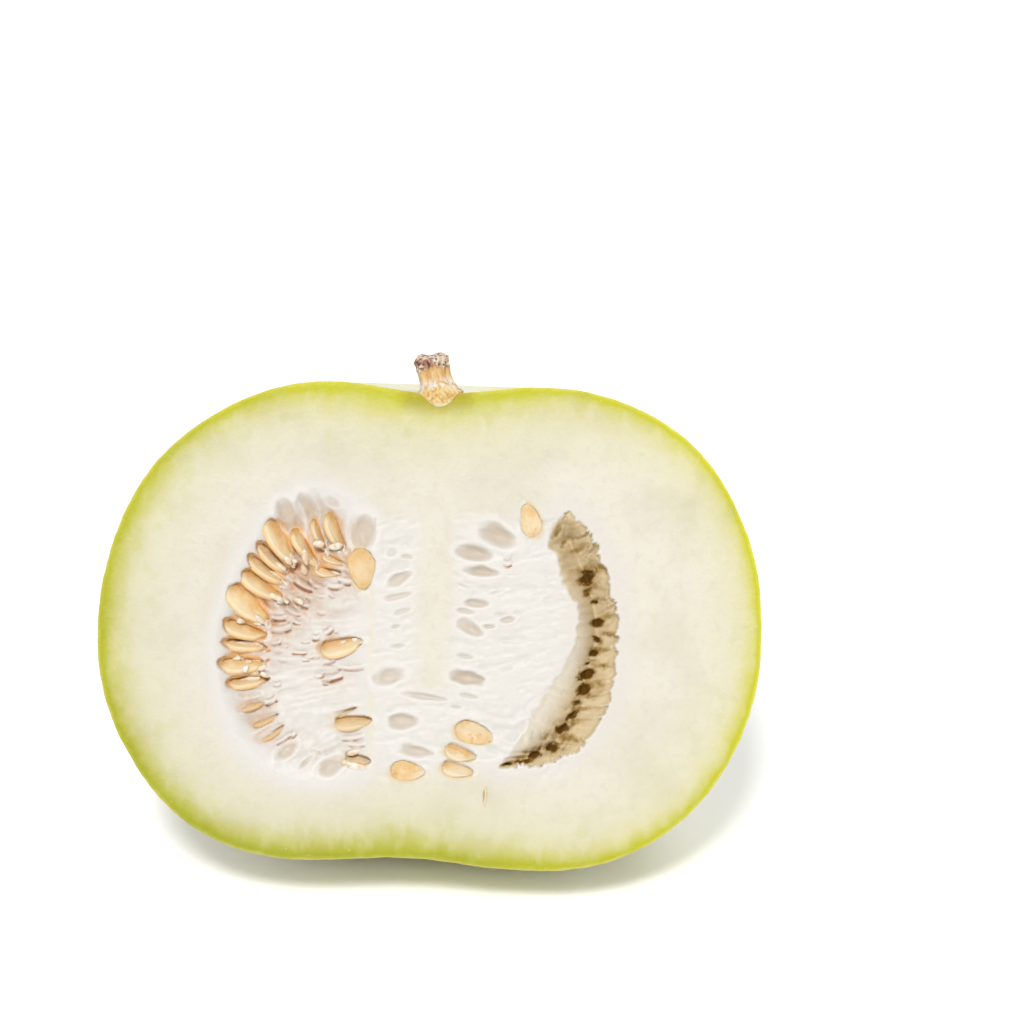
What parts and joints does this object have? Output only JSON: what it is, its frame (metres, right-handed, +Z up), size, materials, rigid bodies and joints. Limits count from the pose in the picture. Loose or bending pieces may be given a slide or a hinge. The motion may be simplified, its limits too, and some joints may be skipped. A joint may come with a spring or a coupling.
{
  "type": "half winter melon",
  "caption": "Half of a small round winter melon, cut lengthwise through its stem end, leaning back on its rind with the pale flesh, seed chamber and seeds showing.",
  "frame": {"origin": "middle of the footprint, on the surface that the half rests on", "axes": "+X to the right across the cut face, which is the longest way; the cut face looks towards -Y and a little up; +Z is up"},
  "size_m": [0.1714, 0.1112, 0.136],
  "materials": {
    "flesh_and_rind": "satin",
    "stem": "matte",
    "seed": "satin"
  },
  "bodies": {
    "root": {"melon_half": "flesh_and_rind", "stem_stub": "stem", "seed_01": "seed", "seed_02": "seed", "seed_03": "seed", "seed_04": "seed", "seed_05": "seed", "seed_06": "seed", "seed_07": "seed", "seed_08": "seed", "seed_09": "seed", "seed_10": "seed", "seed_11": "seed", "seed_12": "seed", "seed_13": "seed", "seed_14": "seed", "seed_15": "seed", "seed_16": "seed", "seed_17": "seed", "seed_18": "seed", "seed_19": "seed", "seed_20": "seed", "seed_21": "seed", "seed_22": "seed", "seed_23": "seed", "seed_24": "seed", "seed_25": "seed", "seed_26": "seed", "seed_27": "seed", "seed_28": "seed"}
  },
  "joints": []
}
